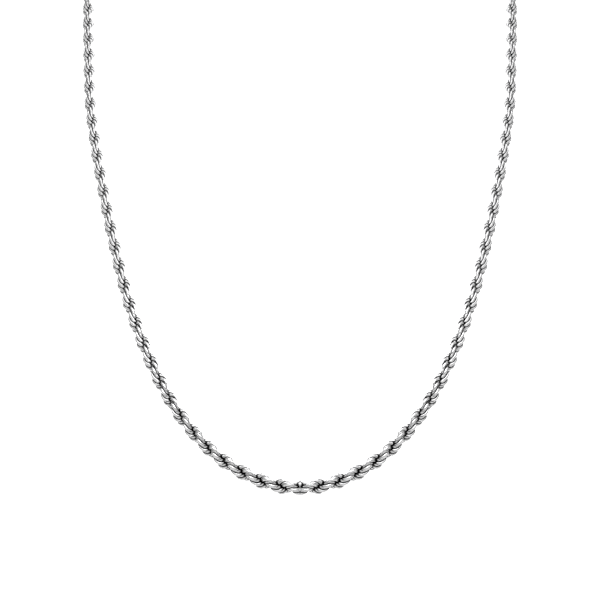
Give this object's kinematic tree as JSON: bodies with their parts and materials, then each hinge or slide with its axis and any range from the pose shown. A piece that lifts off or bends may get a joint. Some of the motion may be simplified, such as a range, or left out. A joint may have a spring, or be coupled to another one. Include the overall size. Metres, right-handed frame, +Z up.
{
  "type": "twisted rope chain necklace",
  "caption": "Worn loop of round links twisted into a silver rope, with an end cap and a jump ring at each end and a claw clasp at the nape.",
  "frame": {"origin": "middle of the neck, level with where the chain lies on the sides of the neck; the necklace is held up there, as a neck holds it", "axes": "+Z up, -Y towards the front of the neck where the chain hangs lowest, +X to the side that is at the right in the picture"},
  "size_m": [0.1204, 0.1142, 0.1551],
  "materials": {
    "chain": "polished silver wire, bright on the crowns, with dark gaps between the links",
    "findings": "polished silver with fine hairline scratches"
  },
  "bodies": {
    "root": {"chain_right": "chain", "chain_left": "chain", "end_cap_right": "findings", "end_cap_left": "findings", "jump_ring_right": "findings", "jump_ring_left": "findings", "clasp": "findings"}
  },
  "joints": []
}
